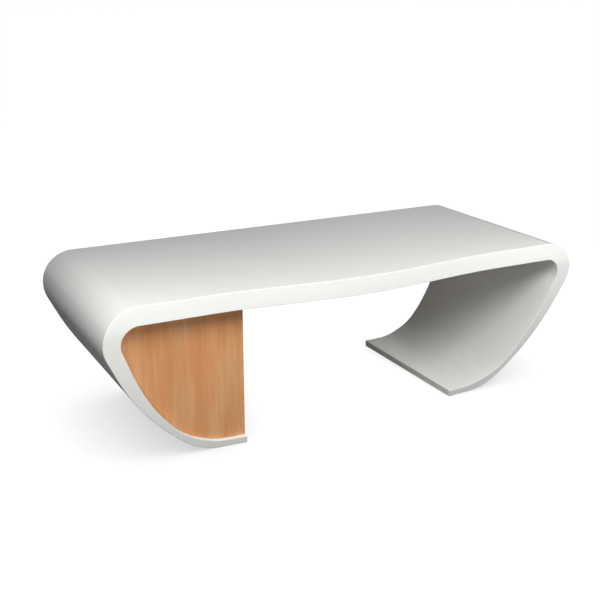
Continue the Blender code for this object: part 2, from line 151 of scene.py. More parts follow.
def make_floor(reach, shade, mottling, shadow_reach, shadow_lift, in_reflections):
    """A floor whose lift sinks to shadow_lift where the desk, within shadow_reach, covers it."""
    mesh = bpy.data.meshes.new("studio floor")
    corners = [(-reach, -reach, 0.0), (reach, -reach, 0.0), (reach, reach, 0.0), (-reach, reach, 0.0)]
    mesh.from_pydata(corners, [], [(0, 1, 2, 3)])
    material = bpy.data.materials.new("studio floor")
    material.use_nodes = True
    tree = material.node_tree
    shader = tree.nodes["Principled BSDF"]
    coordinates = tree.nodes.new("ShaderNodeTexCoord").outputs["Object"]
    mottle = add_node(tree, "ShaderNodeTexNoise", Vector=coordinates, Scale=1.5, Detail=2.0)
    tone = spread(tree, mottle.outputs["Fac"], shade * (1 - mottling), shade * (1 + mottling))
    fill(tree, shader.inputs["Base Color"], tone)
    shader.inputs["Roughness"].default_value = 0.9
    shader.inputs["Specular IOR Level"].default_value = 0.0
    # Painted shade: the white lift sinks towards shadow_lift where the desk is near, which draws the soft
    # shadow.
    openness = add_node(tree, "ShaderNodeAmbientOcclusion", {"samples": 4}, Distance=shadow_reach)
    lift = spread(tree, openness.outputs["AO"], shadow_lift, 1.0)
    strength = calculate(tree, "MULTIPLY", seen_directly(tree, in_reflections), lift)
    glow = add_node(tree, "ShaderNodeEmission", Strength=strength)
    both = tree.nodes.new("ShaderNodeAddShader")
    fill(tree, both.inputs[0], shader.outputs[0])
    fill(tree, both.inputs[1], glow.outputs[0])
    fill(tree, tree.nodes["Material Output"].inputs["Surface"], both.outputs[0])
    mesh.materials.append(material)
    add_object("studio_floor", mesh)


make_floor(
    reach=60.0, shade=0.12, mottling=0.01, shadow_reach=0.42, shadow_lift=0.56, in_reflections=0.06,
)
print("floor ready")

# %% [markdown]
# The world behind the floor works the same way: it is white to look at, but lights the desk only
# gently, with a faint blue that keeps the shades of the white lacquer cool. A panorama of a real place
# would light it more richly, but the gloss would then mirror that place.

# %% Make the world
def make_world(light_colour, light_strength, in_reflections):
    world = bpy.data.worlds.new("studio")
    world.use_nodes = True
    bpy.context.scene.world = world
    tree = world.node_tree
    tree.nodes.clear()
    lit = add_node(tree, "ShaderNodeBackground", Color=(*light_colour, 1.0), Strength=light_strength)
    seen = add_node(tree, "ShaderNodeBackground", Color=(1.0, 1.0, 1.0, 1.0), Strength=1.0)
    chosen = tree.nodes.new("ShaderNodeMixShader")
    fill(tree, chosen.inputs[0], seen_directly(tree, in_reflections))
    fill(tree, chosen.inputs[1], lit.outputs[0])
    fill(tree, chosen.inputs[2], seen.outputs[0])
    add_node(tree, "ShaderNodeOutputWorld", Surface=chosen.outputs[0])


make_world(light_colour=(0.97, 0.985, 1.0), light_strength=0.03, in_reflections=0.25)
print("world ready")

# %% [markdown]
# Two softboxes hang close above the visitor side. So near a light falls off quickly, which gives the
# bright front edge, the top that dims towards the back, and the deep shade inside the far curl. One
# stands beyond each end, one low in front of the left curl, a small one by the right foot, and a weak
# one hangs over the far half of the top. One stands low behind for the user's side: low down it lights
# upright faces but only grazes the top. The last has a grid, which keeps its light on the drawer end.
# Neither the camera nor a mirror-like reflection sees the boxes, so the gloss mirrors a plain studio.

# %% Hang the softboxes
def hang_softbox(name, place, aim, width, height, power, beam=180.0):
    """A softbox turned to its aim. A beam under 180 degrees is what a honeycomb grid on it leaves."""
    data = bpy.data.lights.new(name, "AREA")
    data.shape = "RECTANGLE"
    data.size = width
    data.size_y = height
    data.energy = power
    data.spread = math.radians(beam)
    softbox = add_object(name, data)
    softbox.location = place
    direction = [end - start for start, end in zip(place, aim)]
    flat = math.hypot(direction[0], direction[1])
    tilt = math.pi / 2 + math.atan2(direction[2], flat)
    softbox.rotation_euler = (tilt, 0.0, math.atan2(-direction[0], direction[1]))
    softbox.visible_camera = False
    softbox.visible_glossy = False


hang_softbox("left softbox", (-1.2, -1.7, 1.9), (-0.8, -0.3, 0.6), 1.4, 0.8, 11.5)
hang_softbox("middle softbox", (0.2, -1.7, 1.9), (0.2, -0.3, 0.6), 1.4, 0.8, 28.0)
hang_softbox("right foot softbox", (1.3, -1.3, 1.3), (1.0, -0.45, 0.15), 0.6, 0.4, 7.5)
hang_softbox("far right softbox", (3.0, -1.8, 1.6), (1.2, -0.2, 0.5), 1.0, 1.0, 21.0)
hang_softbox("left end softbox", (-1.9, -0.9, 2.0), (-1.0, -0.1, 0.6), 1.0, 1.0, 25.5)
hang_softbox("low softbox", (-1.6, -2.2, 0.8), (-0.9, -0.3, 0.4), 0.8, 0.8, 11.5)
hang_softbox("high softbox", (0.8, 0.3, 1.9), (0.8, 0.1, 0.7), 1.2, 0.8, 3.0)
hang_softbox("back softbox", (2.4, 2.5, 0.95), (0.0, 0.4, 0.45), 1.2, 0.7, 58.0)
hang_softbox("drawer softbox", (-0.2, 3.2, 0.5), (-0.85, 0.45, 0.38), 0.6, 0.4, 5.0, beam=46.0)
print("softboxes:", [light.name for light in bpy.data.lights])

# %% [markdown]
# ## Shared surface effects
# Two effects are used by several finishes, wood figure and a fine unevenness, so each is a node group.
# Both are made of noise, and both put out plain values from 0 to 1, so that each material can decide
# what they change. One helper starts a group with its named sockets. The other makes noise whose spots
# have a real width and are drawn out along Z, because a maker thinks of grain in millimetres.

# %% Helpers for the shared effects
def start_group(name, inputs, outputs):
    group = bpy.data.node_groups.new(name, "ShaderNodeTree")
    group.interface.new_socket(name="Vector", in_out="INPUT", socket_type="NodeSocketVector")
    for label, value in inputs:
        socket = group.interface.new_socket(name=label, in_out="INPUT", socket_type="NodeSocketFloat")
        socket.default_value = value
    for label in outputs:
        group.interface.new_socket(name=label, in_out="OUTPUT", socket_type="NodeSocketFloat")
    return group, group.nodes.new("NodeGroupInput").outputs, group.nodes.new("NodeGroupOutput").inputs


def drawn_noise(tree, vector, width, run, detail, roughness=0.5):
    """Noise whose spots are as wide as the width, and run times as long along Z."""
    across = calculate(tree, "DIVIDE", 1.0, width)
    along = calculate(tree, "DIVIDE", across, run)
    scale = add_node(tree, "ShaderNodeCombineXYZ", X=across, Y=across, Z=along).outputs[0]
    scaled = calculate(tree, "MULTIPLY", vector, scale, kind="ShaderNodeVectorMath")
    noise = add_node(
        tree, "ShaderNodeTexNoise", Vector=scaled, Scale=1.0, Detail=detail, Roughness=roughness,
    )
    return noise.outputs["Fac"]


print("group helpers ready")

# %% [markdown]
# Wood shows wide patches of colour, narrower bands, fine fibres and short dark pores, all drawn out
# along the grain. A picture of wood would repeat and stretch, so each of the four is a noise of its own
# width. They read coordinates whose Z runs along the grain, so a material only has to turn them. A slow
# noise bends those coordinates first, because no tree grows quite straight.

# %% Wood figure
def make_wood_figure():
    group, given, result = start_group(
        "wood figure",
        [("Band width", 0.03), ("Band run", 10.0), ("Fibre width", 0.001), ("Waviness", 0.006)],
        ["Patches", "Bands", "Fibres", "Pores"],
    )
    slow = add_node(group, "ShaderNodeTexNoise", Vector=given["Vector"], Scale=3.0, Detail=1.0)
    waves = add_node(group, "ShaderNodeCombineXYZ", X=given["Waviness"], Y=given["Waviness"]).outputs[0]
    vectors = "ShaderNodeVectorMath"
    centred = calculate(group, "SUBTRACT", slow.outputs["Color"], (0.5, 0.5, 0.5), kind=vectors)
    bent = calculate(group, "MULTIPLY_ADD", centred, waves, given["Vector"], kind=vectors)
    patch_width = calculate(group, "MULTIPLY", given["Band width"], 1.6)
    fibre_width = given["Fibre width"]
    patches = drawn_noise(group, bent, patch_width, run=4.0, detail=1.0)
    bands = drawn_noise(group, bent, given["Band width"], given["Band run"], detail=3.0, roughness=0.72)
    fibres = drawn_noise(group, bent, fibre_width, run=60.0, detail=3.0, roughness=0.6)
    pores = drawn_noise(group, bent, fibre_width, run=14.0, detail=1.0)
    fill(group, result["Patches"], spread(group, patches, 0.0, 1.0, from_low=0.30, from_high=0.70))
    fill(group, result["Bands"], spread(group, bands, 0.0, 1.0, from_low=0.28, from_high=0.72))
    fill(group, result["Fibres"], spread(group, fibres, 0.0, 1.0, from_low=0.25, from_high=0.75))
    fill(group, result["Pores"], spread(group, pores, 0.0, 1.0, from_low=0.64, from_high=0.74))
    return group


wood_figure = make_wood_figure()
print("shared group:", wood_figure.name)

# %% [markdown]
# Lacquer, board, metal and plastic look even, but a surface with no change at all looks computed. So
# this second group gives soft patches, for slight differences of tone and polish, and a fine grain.

# %% Fine unevenness
def make_unevenness():
    group, given, result = start_group(
        "fine unevenness", [("Patch size", 0.2), ("Grain size", 0.002)], ["Patches", "Grains"],
    )
    patches = drawn_noise(group, given["Vector"], given["Patch size"], run=1.0, detail=3.0)
    grains = drawn_noise(group, given["Vector"], given["Grain size"], run=1.0, detail=2.0)
    fill(group, result["Patches"], spread(group, patches, 0.0, 1.0, from_low=0.3, from_high=0.7))
    fill(group, result["Grains"], spread(group, grains, 0.0, 1.0, from_low=0.3, from_high=0.7))
    return group


unevenness = make_unevenness()
print("shared group:", unevenness.name)

# %% [markdown]
# ## Finishes
# Every finish of the desk starts the same way: object coordinates, turned where the grain needs it, run
# through one of the two shared effects. Its relief is a Bump node, because it is far too fine to model.
# The lacquer is a thick polyurethane coat, polished to a mirror. It has a faint orange peel, a few
# millimetres wide, and slight differences in polish, which tell it from plastic sheet.

# %% White gloss lacquer
def start_material(name, group, turn=(0.0, 0.0, 0.0), **values):
    """A material whose shared effect reads object coordinates, turned where the grain needs it."""
    material = bpy.data.materials.new(name)
    material.use_nodes = True
    tree = material.node_tree
    coordinates = tree.nodes.new("ShaderNodeTexCoord").outputs["Object"]
    turned = add_node(tree, "ShaderNodeMapping", Vector=coordinates, Rotation=turn)
    effect = tree.nodes.new("ShaderNodeGroup")
    effect.node_tree = group
    fill(tree, effect.inputs["Vector"], turned.outputs[0])
    for label, value in values.items():
        effect.inputs[label.replace("_", " ")].default_value = value
    return material, tree, tree.nodes["Principled BSDF"], effect.outputs


def add_relief(tree, shader, height, depth):
    """Relief that is seen in the light on a face, though the face itself stays flat."""
    bump = add_node(tree, "ShaderNodeBump", Height=height, Strength=1.0, Distance=depth)
    fill(tree, shader.inputs["Normal"], bump.outputs[0])


def make_lacquer():
    material, tree, shader, effect = start_material(
        "white gloss lacquer", unevenness, Patch_size=0.35, Grain_size=0.004,
    )
    tone = mix_colours(tree, effect["Patches"], (0.793, 0.802, 0.772, 1.0), (0.776, 0.786, 0.757, 1.0))
    fill(tree, shader.inputs["Base Color"], tone)
    fill(tree, shader.inputs["Roughness"], spread(tree, effect["Patches"], low=0.09, high=0.14))
    add_relief(tree, shader, effect["Grains"], depth=0.000004)
    return material


lacquer = make_lacquer()
print("finish:", lacquer.name)

# %% [markdown]
# Cherry veneer is sliced thin and laid with its grain upright. Its colour drifts between orange and a
# paler tan, with straight darker bands, fine fibres and short pores, under satin lacquer.
# The lipping is solid wood from another board, so it is redder. Beech, for the drawer boxes and the
# cleats, is pale with small darker flecks. Its boards run in two directions, so it is made twice.

# %% Woods
fleck_strength = 0.40
satin_range = 0.14
fibre_relief = 0.00003


def make_wood(name, turn, tones, band_depth, fibre_depth, flecks, satin, **figure):
    """tones are the two colours that patches run between. Bands and fibres darken them by depths."""
    material, tree, shader, effect = start_material(name, wood_figure, turn, **figure)
    first, second = [(*tone, 1.0) for tone in tones]
    patched = mix_colours(tree, effect["Patches"], first, second)
    banded = spread(tree, effect["Bands"], 1.0 - band_depth, 1.0)
    streaked = spread(tree, effect["Fibres"], 1.0 - fibre_depth, 1.0)
    darkened = mix_colours(tree, 1.0, patched, calculate(tree, "MULTIPLY", banded, streaked), "MULTIPLY")
    fleck_share = calculate(tree, "MULTIPLY", effect["Pores"], fleck_strength)
    flecked = mix_colours(tree, fleck_share, darkened, (*flecks, 1.0))
    fill(tree, shader.inputs["Base Color"], flecked)
    fill(tree, shader.inputs["Roughness"], spread(tree, effect["Fibres"], satin, satin + satin_range))
    height = calculate(tree, "SUBTRACT", effect["Fibres"], effect["Pores"])
    add_relief(tree, shader, height, fibre_relief)
    shader.inputs["Coat Weight"].default_value = 0.12
    shader.inputs["Coat Roughness"].default_value = 0.25
    return material


upright = (0.0, 0.0, 0.0)
quarter = math.pi / 2
veneer = make_wood(
    "cherry veneer", upright, tones=[(0.722, 0.318, 0.127), (0.742, 0.394, 0.187)],
    band_depth=0.20, fibre_depth=0.10, flecks=(0.360, 0.145, 0.058), satin=0.36,
    Band_width=0.042, Band_run=18.0, Fibre_width=0.0016, Waviness=0.004,
)
lipping = make_wood(
    "cherry lipping", upright, tones=[(0.760, 0.338, 0.140), (0.745, 0.366, 0.160)],
    band_depth=0.16, fibre_depth=0.12, flecks=(0.330, 0.120, 0.050), satin=0.38,
    Band_width=0.020, Band_run=16.0, Fibre_width=0.0012, Waviness=0.004,
)
beech = {
    "tones": [(0.700, 0.530, 0.350), (0.650, 0.475, 0.300)],
    "band_depth": 0.18, "fibre_depth": 0.12, "flecks": (0.400, 0.235, 0.120), "satin": 0.46,
    "Band_width": 0.030, "Band_run": 14.0, "Fibre_width": 0.0012, "Waviness": 0.004,
}
beech_along = make_wood("beech along the drawer", (quarter, 0.0, 0.0), **beech)
beech_across = make_wood("beech across the drawer", (0.0, quarter, 0.0), **beech)
print("woods:", veneer.name, lipping.name, beech_along.name, beech_across.name)

# %% [markdown]
# The panels behind the fascia are chipboard faced with white melamine, which has a faint pebbled
# grain. The runners and bolts are zinc plated, so they are bright with a cloudy sheen, and the balls
# in the runners are polished. The glides are grey nylon, slightly speckled.

# %% Board, metal and nylon
def make_plain(name, patch, grain, colours, rough, metallic, relief):
    """patch and grain are widths in metres. Patches run between the two colours and roughnesses."""
    material, tree, shader, effect = start_material(name, unevenness, Patch_size=patch, Grain_size=grain)
    first, second = [(*colour, 1.0) for colour in colours]
    clouded = mix_colours(tree, effect["Patches"], first, second)
    speckled = mix_colours(tree, spread(tree, effect["Grains"], 0.0, 0.25), clouded, second)
    fill(tree, shader.inputs["Base Color"], speckled)
    fill(tree, shader.inputs["Roughness"], spread(tree, effect["Patches"], *rough))
    shader.inputs["Metallic"].default_value = metallic
    add_relief(tree, shader, effect["Grains"], relief)
    return material


board = make_plain(
    "white faced board", patch=0.12, grain=0.0012, colours=[(0.745, 0.735, 0.69), (0.705, 0.695, 0.65)],
    rough=(0.42, 0.52), metallic=0.0, relief=0.00002,
)
zinc = make_plain(
    "zinc plated steel", patch=0.018, grain=0.0007, colours=[(0.66, 0.67, 0.69), (0.52, 0.54, 0.56)],
    rough=(0.26, 0.42), metallic=1.0, relief=0.000006,
)
ball_steel = make_plain(
    "polished ball steel", patch=0.004, grain=0.0004, colours=[(0.74, 0.74, 0.75), (0.66, 0.66, 0.67)],
    rough=(0.08, 0.14), metallic=1.0, relief=0.000001,
)
nylon = make_plain(
    "grey nylon", patch=0.02, grain=0.0008, colours=[(0.17, 0.17, 0.18), (0.13, 0.13, 0.14)],
    rough=(0.45, 0.6), metallic=0.0, relief=0.00002,
)
print("plain finishes:", board.name, zinc.name, ball_steel.name, nylon.name)

# %% [markdown]
# ## Making and finishing a piece
# Every piece goes through the same steps. Its mesh is built at its final place, so that it never has to
# be moved. Bevel rounds its edges, because a perfectly sharp edge catches no light, and Weighted Normal
# keeps the flat faces flat to the eye. Then both are turned into plain mesh.

# %% Helpers that make and round a piece
def new_object(name, mesh_work, *materials):
    """Closes a bmesh into an object whose faces point outwards."""
    bmesh.ops.recalc_face_normals(mesh_work, faces=mesh_work.faces)
    mesh = bpy.data.meshes.new(name)
    mesh_work.to_mesh(mesh)
    mesh_work.free()
    for material in materials:
        mesh.materials.append(material)
    return add_object(name, mesh)


def settle(item):
    """Turns what the modifiers make into the object's own mesh, and takes them off."""
    graph = bpy.context.evaluated_depsgraph_get()
    shape = item.evaluated_get(graph)
    mesh = bpy.data.meshes.new_from_object(shape, preserve_all_data_layers=True, depsgraph=graph)
    item.modifiers.clear()
    item.data = mesh
    mesh.name = item.name
    return item


def soften(item, radius, steps=3, sharp=35.0):
    """Rounds the edges that are sharper than the angle, and shades the rest smooth."""
    rounding = item.modifiers.new("rounded edges", "BEVEL")
    rounding.width = radius
    rounding.segments = steps
    rounding.limit_method = "ANGLE"
    rounding.angle_limit = math.radians(sharp)
    settle(item)
    return shade(item)


def shade(item, sharp=50.0):
    item.data.shade_smooth()
    item.data.set_sharp_from_angle(angle=math.radians(sharp))
    evened = item.modifiers.new("even normals", "WEIGHTED_NORMAL")
    evened.keep_sharp = True
    evened.weight = 100
    return settle(item)


print("rounding helpers ready")

# %% [markdown]
# A finished piece is handed over: it is told which body it rides on, and the CAD nodes that it stands
# for are hidden. Most pieces here are boards, so one more helper turns a flat outline into a slab.
# Pushing a face out by hand or by a modifier would do the same, but this way says at once where both
# sides of the board lie.

# %% Helpers that hand over a piece and build a slab
def hand_over(item, body, slot, *stands_for):
    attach(item, body)
    if stands_for:
        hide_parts(*stands_for)
    triangles = sum(len(face.vertices) - 2 for face in item.data.polygons)
    print(f"{item.name}: rides on {body}, {triangles} triangles")


def add_slab(mesh_work, outline, low, high, axis, slot=0):
    """Adds a closed slab whose outline lies across the axis, from low to high along it."""
    place = "XYZ".index(axis)
    start = [mesh_work.verts.new((*point[:place], low, *point[place:])) for point in outline]
    end = [mesh_work.verts.new((*point[:place], high, *point[place:])) for point in outline]
    faces = [mesh_work.faces.new(start), mesh_work.faces.new(list(reversed(end)))]
    for index in range(len(outline)):
        after = (index + 1) % len(outline)
        faces.append(mesh_work.faces.new((start[index], end[index], end[after], start[after])))
    for face in faces:
        face.material_index = slot


def rectangle(low, high):
    return [(low[0], low[1]), (high[0], low[1]), (high[0], high[1]), (low[0], high[1])]


print("slab helpers ready")

# %% [markdown]
# ## The rule of the curl
# The desk's shape follows a rule, and these are its sizes, in metres and as turns in radians. They are
# the numbers that shape the solids of the CAD model. Written once here, they let the same curl be cut
# into finer steps, so that reflections run smoothly over it.

# %% Sizes of the top and the curls
overall_length = 2.400
overall_height = 0.740
back_edge = 0.522
front_edge = -0.462
front_bow = 0.060
bow_half_length = 0.735
worktop_thickness = 0.082
bend_radius = 0.153
bend_turn = math.radians(115.7)
straight_length = 0.089
flank_turn = math.radians(27.3)
toe_radius = 0.282
foot_ramp_length = 0.072
foot_level_length = 0.041
foot_clearance = 0.0015
bend_end_wall = 0.0714
flank_end_wall = 0.0301
toe_wall = 0.0393
foot_wall = 0.0307
flank_wall_share = 0.855
toe_wall_share = 0.395
taper_start = 0.640
taper_ease = 0.060
front_taper = 0.087
back_taper = 0.108
print("top:", overall_length, "long,", round(back_edge - front_edge + front_bow, 3), "deep in the middle")

# %% [markdown]
# Seen from the front, a curl follows a path: a tight bend, a short straight, a long flank that hardly
# turns, and a toe that brings it flat onto the floor. Arcs and straights that join without a kink are
# how such a form is set out on a workshop floor, and they are easier to check than a drawn curve.

# %% Path of a curl
def outer_path():
    """Stations (x, z, turn, distance) from the bend to the tip of the foot, and where parts end."""
    full_turn = bend_turn + flank_turn
    bend_drop = bend_radius * (1 - math.cos(bend_turn))
    straight_drop = straight_length * math.sin(bend_turn)
    toe_drop = toe_radius * (1 + math.cos(full_turn))
    flank_drop = overall_height - foot_clearance - bend_drop - straight_drop - toe_drop
    flank_radius = flank_drop / (math.cos(bend_turn) - math.cos(full_turn))
    path = [(overall_length / 2 - bend_radius, overall_height, 0.0, 0.0)]

    def add_arc(radius, end_turn, steps):
        start_x, start_z, start_turn, distance = path[-1]
        centre_x = start_x - radius * math.sin(start_turn)
        centre_z = start_z - radius * math.cos(start_turn)
        for index in range(1, steps + 1):
            turned = (end_turn - start_turn) * index / steps
            turn = start_turn + turned
            place_x = centre_x + radius * math.sin(turn)
            place_z = centre_z + radius * math.cos(turn)
            path.append((place_x, place_z, turn, distance + radius * turned))
        return path[-1][3]

    def add_straight(length, steps):
        start_x, start_z, turn, distance = path[-1]
        for index in range(1, steps + 1):
            run = length * index / steps
            place_x = start_x + run * math.cos(turn)
            place_z = start_z - run * math.sin(turn)
            path.append((place_x, place_z, turn, distance + run))
        return path[-1][3]

    add_arc(bend_radius, math.pi / 2, steps=36)
    ends = {"bend": add_arc(bend_radius, bend_turn, steps=10)}
    ends["straight"] = add_straight(straight_length, steps=8)
    ends["flank"] = add_arc(flank_radius, full_turn, steps=44)
    ends["toe"] = add_arc(toe_radius, math.pi, steps=30)
    ends["ramp"] = add_straight(foot_ramp_length, steps=10)
    add_straight(foot_level_length, steps=3)
    return path, ends


path, path_ends = outer_path()
tip_x = path[-1][0]
print("path:", len(path), "stations,", round(path[-1][3], 3), "m long, tip at x", round(tip_x, 4))

# %% [markdown]
# The wall is measured square to that path. It starts as thick as the top, thins down the flank, and
# swells a little in the toe. Between the places where it is given, a cubic curve with matching slopes
# carries it over, so that no ridge shows in the gloss.

# %% Wall of a curl
def wall_at(distance, ends):
    """Thickness of the wall at a distance along the path."""
    flank_place = ends["straight"] + (ends["flank"] - ends["straight"]) * flank_wall_share
    toe_place = ends["flank"] + (ends["toe"] - ends["flank"]) * toe_wall_share
    places = [
        (0.0, worktop_thickness), (ends["bend"], bend_end_wall), (flank_place, flank_end_wall),
        (toe_place, toe_wall), (ends["ramp"], foot_wall),
    ]
    if distance >= ends["ramp"]:
        return foot_wall
    slopes = [0.0]
    for before, after in zip(places, places[2:]):
        slopes.append((after[1] - before[1]) / (after[0] - before[0]))
    slopes.append(0.0)
    index = max(index for index, place in enumerate(places) if place[0] <= distance)
    (low, low_wall), (high, high_wall) = places[index], places[index + 1]
    span = high - low
    share = (distance - low) / span
    ease = share * share * (3 - 2 * share)
    low_lean = slopes[index] * span * share * (1 - share) ** 2
    high_lean = slopes[index + 1] * span * share * share * (share - 1)
    return low_wall + (high_wall - low_wall) * ease + low_lean + high_lean


print("wall at the end of the bend:", round(wall_at(path_ends["bend"], path_ends), 4))

# %% [markdown]
# ## The lacquered shell
# On the real desk the top and both curls are glued, filled and lacquered as one, so no joint shows.
# The CAD has them as separate solids, so this piece stands for all of them. It could be lofted by hand,
# but its shape follows a rule, so it is made with Geometry Nodes from a flat strip. The strip is the
# section of the desk. Its wall is cut into four columns, which keeps its faces from growing long.

# %% A strip for the section
def section_strip(columns=4, bow_steps=40):
    """The section as quads at y = 0, from the tip of the left foot over the top to the right one."""
    half = [(bow_half_length * index / bow_steps, overall_height, 0.0, worktop_thickness)
            for index in range(bow_steps + 1)]
    half += [(place_x, place_z, turn, wall_at(distance, path_ends))
             for place_x, place_z, turn, distance in path]
    stations = [(-1, *station) for station in reversed(half[1:])] + [(1, *station) for station in half]
    mesh_work = bmesh.new()
    rows = []
    for side, place_x, place_z, turn, wall in stations:
        row = []
        for column in range(columns + 1):
            depth = wall * column / columns
            across = place_x - depth * math.sin(turn)
            row.append(mesh_work.verts.new((side * across, 0.0, place_z - depth * math.cos(turn))))
        rows.append(row)
    for row, following in zip(rows, rows[1:]):
        for column in range(columns):
            mesh_work.faces.new((row[column], row[column + 1], following[column + 1], following[column]))
    return mesh_work, len(rows)


strip_work, station_count = section_strip()
shell = new_object("lacquered_shell", strip_work)
print("strip of", station_count, "stations")

# %% [markdown]
# Three helpers serve every Geometry Nodes tree in this lesson. One starts a tree with named inputs, one
# ends it, and one runs it on an object and keeps the result as plain mesh. Instances have to be made
# real at the end, because the export would drop them.

# %% Helpers for Geometry Nodes trees
def start_tree(name, inputs):
    """A Geometry Nodes tree with a material and the inputs given as (label, kind of socket, value)."""
    tree = bpy.data.node_groups.new(name, "GeometryNodeTree")
    tree.is_modifier = True
    tree.interface.new_socket(name="Geometry", in_out="INPUT", socket_type="NodeSocketGeometry")
    for label, kind, value in [*inputs, ("Material", "Material", None)]:
        socket = tree.interface.new_socket(name=label, in_out="INPUT", socket_type="NodeSocket" + kind)
        if value is not None:
            socket.default_value = value
    tree.interface.new_socket(name="Geometry", in_out="OUTPUT", socket_type="NodeSocketGeometry")
    return tree, tree.nodes.new("NodeGroupInput").outputs


def end_tree(tree, geometry, material):
    """Every tree ends by making instances real and giving them their material."""
    real = add_node(tree, "GeometryNodeRealizeInstances", Geometry=geometry)
    coated = add_node(tree, "GeometryNodeSetMaterial", Geometry=real.outputs[0], Material=material)
    add_node(tree, "NodeGroupOutput", Geometry=coated.outputs[0])


def grow(item, tree, **values):
    """Runs a tree on an object, with its inputs set by the socket's identifier."""
    modifier = item.modifiers.new(tree.name, "NODES")
    modifier.node_group = tree
    for socket in tree.interface.items_tree:
        name = socket.name.replace(" ", "_").lower()
        if socket.in_out == "INPUT" and name in values:
            modifier[socket.identifier] = values[name]
    return settle(item)


print("tree helpers ready")

# %% [markdown]
# The tree pushes the strip out along Y and closes it. Then it moves the front to a bowed edge that leans
# in towards the floor, and the back to a straight one that does the same. The bow is one wave of a
# cosine, and a smooth maximum eases the start of the lean.

# %% Tree that gives the strip its depth
weld_distance = 0.00001


def make_shell_tree():
    sizes = ["Front edge", "Back edge", "Bow", "Bow half length", "Taper start", "Taper ease",
             "Front taper", "Back taper"]
    tree, given = start_tree("bowed and tapered shell", [(label, "Float", 1.0) for label in sizes])
    backwards = add_node(tree, "ShaderNodeCombineXYZ", Y=1.0).outputs[0]
    pushed = add_node(
        tree, "GeometryNodeExtrudeMesh", {"mode": "FACES"}, Mesh=given["Geometry"],
        Offset=backwards, Offset_Scale=1.0, Individual=False,
    )
    turned = add_node(tree, "GeometryNodeFlipFaces", Mesh=given["Geometry"])
    joined = tree.nodes.new("GeometryNodeJoinGeometry")
    for half in (pushed, turned):
        fill(tree, joined.inputs[0], half.outputs["Mesh"])
    closed = add_node(
        tree, "GeometryNodeMergeByDistance", Geometry=joined.outputs[0], Distance=weld_distance,
    )
    place = tree.nodes.new("GeometryNodeInputPosition").outputs[0]
    parts = add_node(tree, "ShaderNodeSeparateXYZ", Vector=place).outputs
    from_middle = calculate(tree, "ABSOLUTE", parts["X"])
    within = calculate(tree, "MINIMUM", from_middle, given["Bow half length"])
    share = calculate(tree, "DIVIDE", within, given["Bow half length"])
    wave = calculate(tree, "COSINE", calculate(tree, "MULTIPLY", share, math.pi))
    bulge = calculate(tree, "MULTIPLY", calculate(tree, "MULTIPLY_ADD", wave, 0.5, 0.5), given["Bow"])
    height_share = calculate(tree, "DIVIDE", parts["Z"], given["Taper start"])
    below = calculate(tree, "SUBTRACT", 1.0, height_share)
    lean = calculate(tree, "SMOOTH_MAX", below, 0.0, given["Taper ease"])
    leaned = calculate(tree, "MULTIPLY_ADD", lean, given["Front taper"], given["Front edge"])
    front = calculate(tree, "SUBTRACT", leaned, bulge)
    back_lean = calculate(tree, "MULTIPLY", lean, given["Back taper"])
    back = calculate(tree, "SUBTRACT", given["Back edge"], back_lean)
    depth = calculate(tree, "SUBTRACT", back, front)
    place_y = calculate(tree, "MULTIPLY_ADD", parts["Y"], depth, front)
    moved = add_node(tree, "ShaderNodeCombineXYZ", X=parts["X"], Y=place_y, Z=parts["Z"]).outputs[0]
    shaped = add_node(tree, "GeometryNodeSetPosition", Geometry=closed.outputs[0], Position=moved)
    end_tree(tree, shaped.outputs[0], given["Material"])
    return tree


grow(
    shell, make_shell_tree(), front_edge=front_edge, back_edge=back_edge, bow=front_bow,
    bow_half_length=bow_half_length, taper_start=taper_start, taper_ease=taper_ease,
    front_taper=front_taper, back_taper=back_taper, material=lacquer,
)
print("shell grown:", len(shell.data.polygons), "faces")

# %% [markdown]
# The maker rubs the sharp edges down to a small radius before lacquering, which is what catches the
# light along them. Under the top are four pockets through which the joint bolts are tightened, and
# under the feet are pockets for the glides. They are cut after the rounding, so their rims stay crisp.

# %% Round the shell and cut its pockets
edge_radius = 0.0022
pocket_length = 0.060
pocket_width = 0.044
pocket_top = 0.7215
cut_margin = 0.01
joint_gap = 0.0003


def pocket_cutter():
    """Slabs beside the end rails and round the glides, for each corner of the desk."""
    mesh_work = bmesh.new()
    underside = overall_height - worktop_thickness
    half_width = pocket_width / 2
    for side in ("left", "right"):
        for end in ("front", "back"):
            low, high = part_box(f"{side}_{end}_joint_bolt")
            middle_y = (low.y + high.y) / 2
            rail_low, rail_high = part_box(f"worktop_{side}_end_rail")
            start_x = rail_high.x if side == "left" else rail_low.x - pocket_length
            outline = rectangle(
                (start_x, middle_y - half_width), (start_x + pocket_length, middle_y + half_width),
            )
            add_slab(mesh_work, outline, underside - cut_margin, pocket_top, "Z")
            low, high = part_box(f"{side}_{end}_glide")
            outline = rectangle(
                (low.x - joint_gap, low.y - joint_gap), (high.x + joint_gap, high.y + joint_gap),
            )
            add_slab(mesh_work, outline, -cut_margin, high.z + joint_gap, "Z")
    return new_object("pocket cutter", mesh_work)


def cut_away(item, cutter):
    cutting = item.modifiers.new("pockets", "BOOLEAN")
    cutting.operation = "DIFFERENCE"
    cutting.solver = "EXACT"
    cutting.object = cutter
    settle(item)
    bpy.data.objects.remove(cutter)


soften(shell, edge_radius)
cut_away(shell, pocket_cutter())
shade(shell)
hand_over(
    shell, "desk", "white_lacquer", "worktop_upper_skin", "worktop_lower_skin", "worktop_front_rail",
    "worktop_back_rail", "worktop_left_end_rail", "worktop_right_end_rail", "left_end_shell",
    "right_end_shell",
)

# %% [markdown]
# ## The fascia and its lipping
# The fascia is a veneered panel cut to the inside of the curl, with a shadow line of a fraction of a
# millimetre round it. So its outline is the inner face of the curl, moved in by that gap and trimmed at
# the lipping. A Boolean could trim it, but a small clipping routine leaves clean corners, and the drawer
# fronts need it again.

